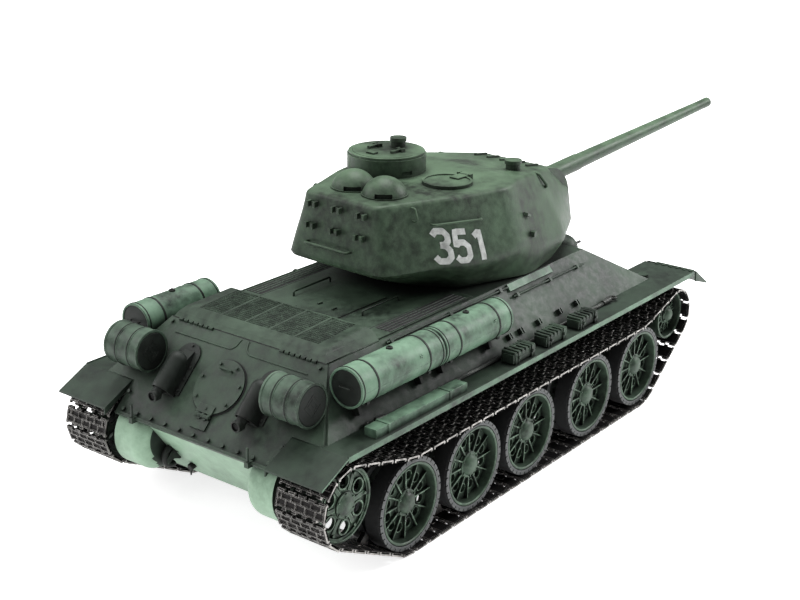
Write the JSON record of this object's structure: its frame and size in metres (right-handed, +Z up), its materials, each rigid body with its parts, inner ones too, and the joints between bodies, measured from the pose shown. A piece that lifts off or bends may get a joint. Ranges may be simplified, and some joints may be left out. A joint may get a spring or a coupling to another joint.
{
  "type": "rc tank",
  "caption": "Scale model tank with two link tracks, sprung road wheels, drive sprockets, a traversing turret, an elevating and recoiling gun, opening hatches and side fuel drums.",
  "frame": {"origin": "bottom centre of the whole box, on the ground, with the turret and gun parked as pictured", "axes": "+X forward along the hull, +Y to the tank's left, +Z up"},
  "size_m": [0.5368, 0.1876, 0.18],
  "materials": {
    "hull_green": "weathered dark green paint, satin",
    "turret_green": "weathered dark green paint on cast metal, satin",
    "stowage_green": "lighter sprayed green with dark shading",
    "wheel_green": "weathered green paint on cast wheels",
    "track_metal": "blackened links with worn bright edges",
    "dark_metal": "near-black satin paint",
    "steel": "plain shafts and cable",
    "plastic_black": "moulded black",
    "brass": "gears",
    "board_green": "circuit board"
  },
  "bodies": {
    "hull": {"lower_hull": "hull_green", "upper_hull": "hull_green", "fenders": "hull_green", "rear_plate": "hull_green", "exhausts": "dark_metal", "smoke_canisters": "stowage_green", "fuel_drums": "stowage_green", "engine_deck": "hull_green", "transmission_cover": "hull_green", "hull_fittings": "hull_green", "stowage": "stowage_green", "tow_cables": "steel", "battery_pack": "plastic_black", "drive_gearboxes": "steel", "turret_motor": "steel", "control_electronics": "board_green", "track_left": "track_metal", "track_right": "track_metal"},
    "battery_door": {"battery_door": "plastic_black"},
    "power_switch": {"power_switch": "plastic_black"},
    "driver_hatch": {"driver_hatch": "hull_green"},
    "bow_gun": {"hull_machine_gun": "hull_green"},
    "rear_cover": {"rear_access_cover": "hull_green"},
    "turret": {"turret_shell": "turret_green", "turret_ring": "plastic_black", "cupola": "turret_green", "turret_fittings": "turret_green"},
    "cupola_hatch": {"cupola_hatch": "turret_green"},
    "loader_hatch": {"loader_hatch": "turret_green"},
    "mantlet": {"gun_mantlet": "turret_green"},
    "barrel": {"gun_barrel": "turret_green"},
    "turret_pinion": {"turret_pinion": "brass"},
    "front_mudflap_left": {"front_mudflap_left": "hull_green"},
    "drive_sprocket_left": {"drive_sprocket_left": "wheel_green"},
    "motor_pinion_left": {"motor_pinion_left": "brass"},
    "idler_wheel_left": {"idler_wheel_left": "wheel_green"},
    "swing_arm_left_1": {"swing_arm_left_1": "hull_green"},
    "road_wheel_left_1": {"road_wheel_left_1": "wheel_green"},
    "swing_arm_left_2": {"swing_arm_left_2": "hull_green"},
    "road_wheel_left_2": {"road_wheel_left_2": "wheel_green"},
    "swing_arm_left_3": {"swing_arm_left_3": "hull_green"},
    "road_wheel_left_3": {"road_wheel_left_3": "wheel_green"},
    "swing_arm_left_4": {"swing_arm_left_4": "hull_green"},
    "road_wheel_left_4": {"road_wheel_left_4": "wheel_green"},
    "swing_arm_left_5": {"swing_arm_left_5": "hull_green"},
    "road_wheel_left_5": {"road_wheel_left_5": "wheel_green"},
    "front_mudflap_right": {"front_mudflap_right": "hull_green"},
    "drive_sprocket_right": {"drive_sprocket_right": "wheel_green"},
    "motor_pinion_right": {"motor_pinion_right": "brass"},
    "idler_wheel_right": {"idler_wheel_right": "wheel_green"},
    "swing_arm_right_1": {"swing_arm_right_1": "hull_green"},
    "road_wheel_right_1": {"road_wheel_right_1": "wheel_green"},
    "swing_arm_right_2": {"swing_arm_right_2": "hull_green"},
    "road_wheel_right_2": {"road_wheel_right_2": "wheel_green"},
    "swing_arm_right_3": {"swing_arm_right_3": "hull_green"},
    "road_wheel_right_3": {"road_wheel_right_3": "wheel_green"},
    "swing_arm_right_4": {"swing_arm_right_4": "hull_green"},
    "road_wheel_right_4": {"road_wheel_right_4": "wheel_green"},
    "swing_arm_right_5": {"swing_arm_right_5": "hull_green"},
    "road_wheel_right_5": {"road_wheel_right_5": "wheel_green"}
  },
  "joints": [
    {"name": "turret_traverse", "type": "hinge", "parent": "hull", "child": "turret", "pos_m": [-0.04139, 0, 0.104], "axis": [0, 0, 1], "range_deg": [-150, 155]},
    {"name": "traverse_pinion_spin", "type": "hinge", "parent": "hull", "child": "turret_pinion", "pos_m": [0.00666, 0, 0.096], "axis": [0, 0, 1], "range_deg": [-1120, 1120]},
    {"name": "gun_elevation", "type": "hinge", "parent": "turret", "child": "mantlet", "pos_m": [0.02452, -0.00345, 0.129], "axis": [-0.0523, -0.9986, 0], "range_deg": [-5, 15]},
    {"name": "gun_recoil", "type": "slide", "parent": "mantlet", "child": "barrel", "axis": [-0.9954, 0.0522, -0.0802], "range_m": [0, 0.008], "stiffness_N_per_m": 60},
    {"name": "cupola_hatch_hinge", "type": "hinge", "parent": "turret", "child": "cupola_hatch", "pos_m": [-0.06844, 0.02465, 0.1749], "axis": [0.0523, 0.9986, 0], "range_deg": [0, 110]},
    {"name": "loader_hatch_hinge", "type": "hinge", "parent": "turret", "child": "loader_hatch", "pos_m": [-0.05639, -0.02245, 0.1639], "axis": [0.0523, 0.9986, 0], "range_deg": [0, 110]},
    {"name": "driver_hatch_hinge", "type": "hinge", "parent": "hull", "child": "driver_hatch", "pos_m": [0.03592, 0.02, 0.10186], "axis": [0, -1, 0], "range_deg": [0, 40]},
    {"name": "bow_gun_swivel", "type": "hinge", "parent": "hull", "child": "bow_gun", "pos_m": [0.05559, -0.024, 0.09073], "axis": [0, 0, 1], "range_deg": [-12, 12]},
    {"name": "rear_cover_hinge", "type": "hinge", "parent": "hull", "child": "rear_cover", "pos_m": [-0.25278, 0, 0.07294], "axis": [0, -1, 0], "range_deg": [0, 95]},
    {"name": "battery_door_slide", "type": "slide", "parent": "hull", "child": "battery_door", "axis": [-1, 0, 0], "range_m": [0, 0.034]},
    {"name": "power_switch_slide", "type": "slide", "parent": "hull", "child": "power_switch", "axis": [1, 0, 0], "range_m": [0, 0.004]},
    {"name": "mudflap_left_hinge", "type": "hinge", "parent": "hull", "child": "front_mudflap_left", "pos_m": [0.11021, 0.075, 0.0757], "axis": [0, -1, 0], "range_deg": [0, 80]},
    {"name": "sprocket_left_spin", "type": "hinge", "parent": "hull", "child": "drive_sprocket_left", "pos_m": [-0.24359, 0.077, 0.047], "axis": [0, 1, 0], "continuous": true, "deforming": ["track_left"]},
    {"name": "motor_pinion_left_spin", "type": "hinge", "parent": "hull", "child": "motor_pinion_left", "pos_m": [-0.22994, 0.048, 0.047], "axis": [0, 1, 0], "continuous": true},
    {"name": "idler_left_spin", "type": "hinge", "parent": "hull", "child": "idler_wheel_left", "pos_m": [0.09061, 0.077, 0.0497], "axis": [0, 1, 0], "continuous": true, "deforming": ["track_left"]},
    {"name": "swing_arm_left_1_pivot", "type": "hinge", "parent": "hull", "child": "swing_arm_left_1", "pos_m": [0.06361, 0.06, 0.0363], "axis": [0, 1, 0], "range_deg": [0, 8], "stiffness_Nm_per_rad": 1.2, "springref_deg": -11.46, "deforming": ["track_left"]},
    {"name": "road_wheel_left_1_spin", "type": "hinge", "parent": "swing_arm_left_1", "child": "road_wheel_left_1", "pos_m": [0.04661, 0.077, 0.0278], "axis": [0, 1, 0], "continuous": true, "deforming": ["track_left"]},
    {"name": "swing_arm_left_2_pivot", "type": "hinge", "parent": "hull", "child": "swing_arm_left_2", "pos_m": [0.00371, 0.06, 0.0363], "axis": [0, 1, 0], "range_deg": [0, 8], "stiffness_Nm_per_rad": 1.2, "springref_deg": -11.46, "deforming": ["track_left"]},
    {"name": "road_wheel_left_2_spin", "type": "hinge", "parent": "swing_arm_left_2", "child": "road_wheel_left_2", "pos_m": [-0.01329, 0.077, 0.0278], "axis": [0, 1, 0], "continuous": true, "deforming": ["track_left"]},
    {"name": "swing_arm_left_3_pivot", "type": "hinge", "parent": "hull", "child": "swing_arm_left_3", "pos_m": [-0.06299, 0.06, 0.0363], "axis": [0, 1, 0], "range_deg": [0, 8], "stiffness_Nm_per_rad": 1.2, "springref_deg": -11.46, "deforming": ["track_left"]},
    {"name": "road_wheel_left_3_spin", "type": "hinge", "parent": "swing_arm_left_3", "child": "road_wheel_left_3", "pos_m": [-0.07999, 0.077, 0.0278], "axis": [0, 1, 0], "continuous": true, "deforming": ["track_left"]},
    {"name": "swing_arm_left_4_pivot", "type": "hinge", "parent": "hull", "child": "swing_arm_left_4", "pos_m": [-0.11959, 0.06, 0.0363], "axis": [0, 1, 0], "range_deg": [0, 8], "stiffness_Nm_per_rad": 1.2, "springref_deg": -11.46, "deforming": ["track_left"]},
    {"name": "road_wheel_left_4_spin", "type": "hinge", "parent": "swing_arm_left_4", "child": "road_wheel_left_4", "pos_m": [-0.13659, 0.077, 0.0278], "axis": [0, 1, 0], "continuous": true, "deforming": ["track_left"]},
    {"name": "swing_arm_left_5_pivot", "type": "hinge", "parent": "hull", "child": "swing_arm_left_5", "pos_m": [-0.17639, 0.06, 0.0363], "axis": [0, 1, 0], "range_deg": [0, 8], "stiffness_Nm_per_rad": 1.2, "springref_deg": -11.46, "deforming": ["track_left"]},
    {"name": "road_wheel_left_5_spin", "type": "hinge", "parent": "swing_arm_left_5", "child": "road_wheel_left_5", "pos_m": [-0.19339, 0.077, 0.0278], "axis": [0, 1, 0], "continuous": true, "deforming": ["track_left"]},
    {"name": "mudflap_right_hinge", "type": "hinge", "parent": "hull", "child": "front_mudflap_right", "pos_m": [0.11021, -0.075, 0.0757], "axis": [0, -1, 0], "range_deg": [0, 80]},
    {"name": "sprocket_right_spin", "type": "hinge", "parent": "hull", "child": "drive_sprocket_right", "pos_m": [-0.24359, -0.077, 0.047], "axis": [0, 1, 0], "continuous": true, "deforming": ["track_right"]},
    {"name": "motor_pinion_right_spin", "type": "hinge", "parent": "hull", "child": "motor_pinion_right", "pos_m": [-0.22994, -0.048, 0.047], "axis": [0, 1, 0], "continuous": true},
    {"name": "idler_right_spin", "type": "hinge", "parent": "hull", "child": "idler_wheel_right", "pos_m": [0.09061, -0.077, 0.0497], "axis": [0, 1, 0], "continuous": true, "deforming": ["track_right"]},
    {"name": "swing_arm_right_1_pivot", "type": "hinge", "parent": "hull", "child": "swing_arm_right_1", "pos_m": [0.06361, -0.06, 0.0363], "axis": [0, 1, 0], "range_deg": [0, 8], "stiffness_Nm_per_rad": 1.2, "springref_deg": -11.46, "deforming": ["track_right"]},
    {"name": "road_wheel_right_1_spin", "type": "hinge", "parent": "swing_arm_right_1", "child": "road_wheel_right_1", "pos_m": [0.04661, -0.077, 0.0278], "axis": [0, 1, 0], "continuous": true, "deforming": ["track_right"]},
    {"name": "swing_arm_right_2_pivot", "type": "hinge", "parent": "hull", "child": "swing_arm_right_2", "pos_m": [0.00371, -0.06, 0.0363], "axis": [0, 1, 0], "range_deg": [0, 8], "stiffness_Nm_per_rad": 1.2, "springref_deg": -11.46, "deforming": ["track_right"]},
    {"name": "road_wheel_right_2_spin", "type": "hinge", "parent": "swing_arm_right_2", "child": "road_wheel_right_2", "pos_m": [-0.01329, -0.077, 0.0278], "axis": [0, 1, 0], "continuous": true, "deforming": ["track_right"]},
    {"name": "swing_arm_right_3_pivot", "type": "hinge", "parent": "hull", "child": "swing_arm_right_3", "pos_m": [-0.06299, -0.06, 0.0363], "axis": [0, 1, 0], "range_deg": [0, 8], "stiffness_Nm_per_rad": 1.2, "springref_deg": -11.46, "deforming": ["track_right"]},
    {"name": "road_wheel_right_3_spin", "type": "hinge", "parent": "swing_arm_right_3", "child": "road_wheel_right_3", "pos_m": [-0.07999, -0.077, 0.0278], "axis": [0, 1, 0], "continuous": true, "deforming": ["track_right"]},
    {"name": "swing_arm_right_4_pivot", "type": "hinge", "parent": "hull", "child": "swing_arm_right_4", "pos_m": [-0.11959, -0.06, 0.0363], "axis": [0, 1, 0], "range_deg": [0, 8], "stiffness_Nm_per_rad": 1.2, "springref_deg": -11.46, "deforming": ["track_right"]},
    {"name": "road_wheel_right_4_spin", "type": "hinge", "parent": "swing_arm_right_4", "child": "road_wheel_right_4", "pos_m": [-0.13659, -0.077, 0.0278], "axis": [0, 1, 0], "continuous": true, "deforming": ["track_right"]},
    {"name": "swing_arm_right_5_pivot", "type": "hinge", "parent": "hull", "child": "swing_arm_right_5", "pos_m": [-0.17639, -0.06, 0.0363], "axis": [0, 1, 0], "range_deg": [0, 8], "stiffness_Nm_per_rad": 1.2, "springref_deg": -11.46, "deforming": ["track_right"]},
    {"name": "road_wheel_right_5_spin", "type": "hinge", "parent": "swing_arm_right_5", "child": "road_wheel_right_5", "pos_m": [-0.19339, -0.077, 0.0278], "axis": [0, 1, 0], "continuous": true, "deforming": ["track_right"]}
  ],
  "couplings": [
    {"joint": "traverse_pinion_spin", "follows": "turret_traverse", "ratio": -7},
    {"joint": "motor_pinion_left_spin", "follows": "sprocket_left_spin", "ratio": -2.4},
    {"joint": "motor_pinion_right_spin", "follows": "sprocket_right_spin", "ratio": -2.4}
  ]
}
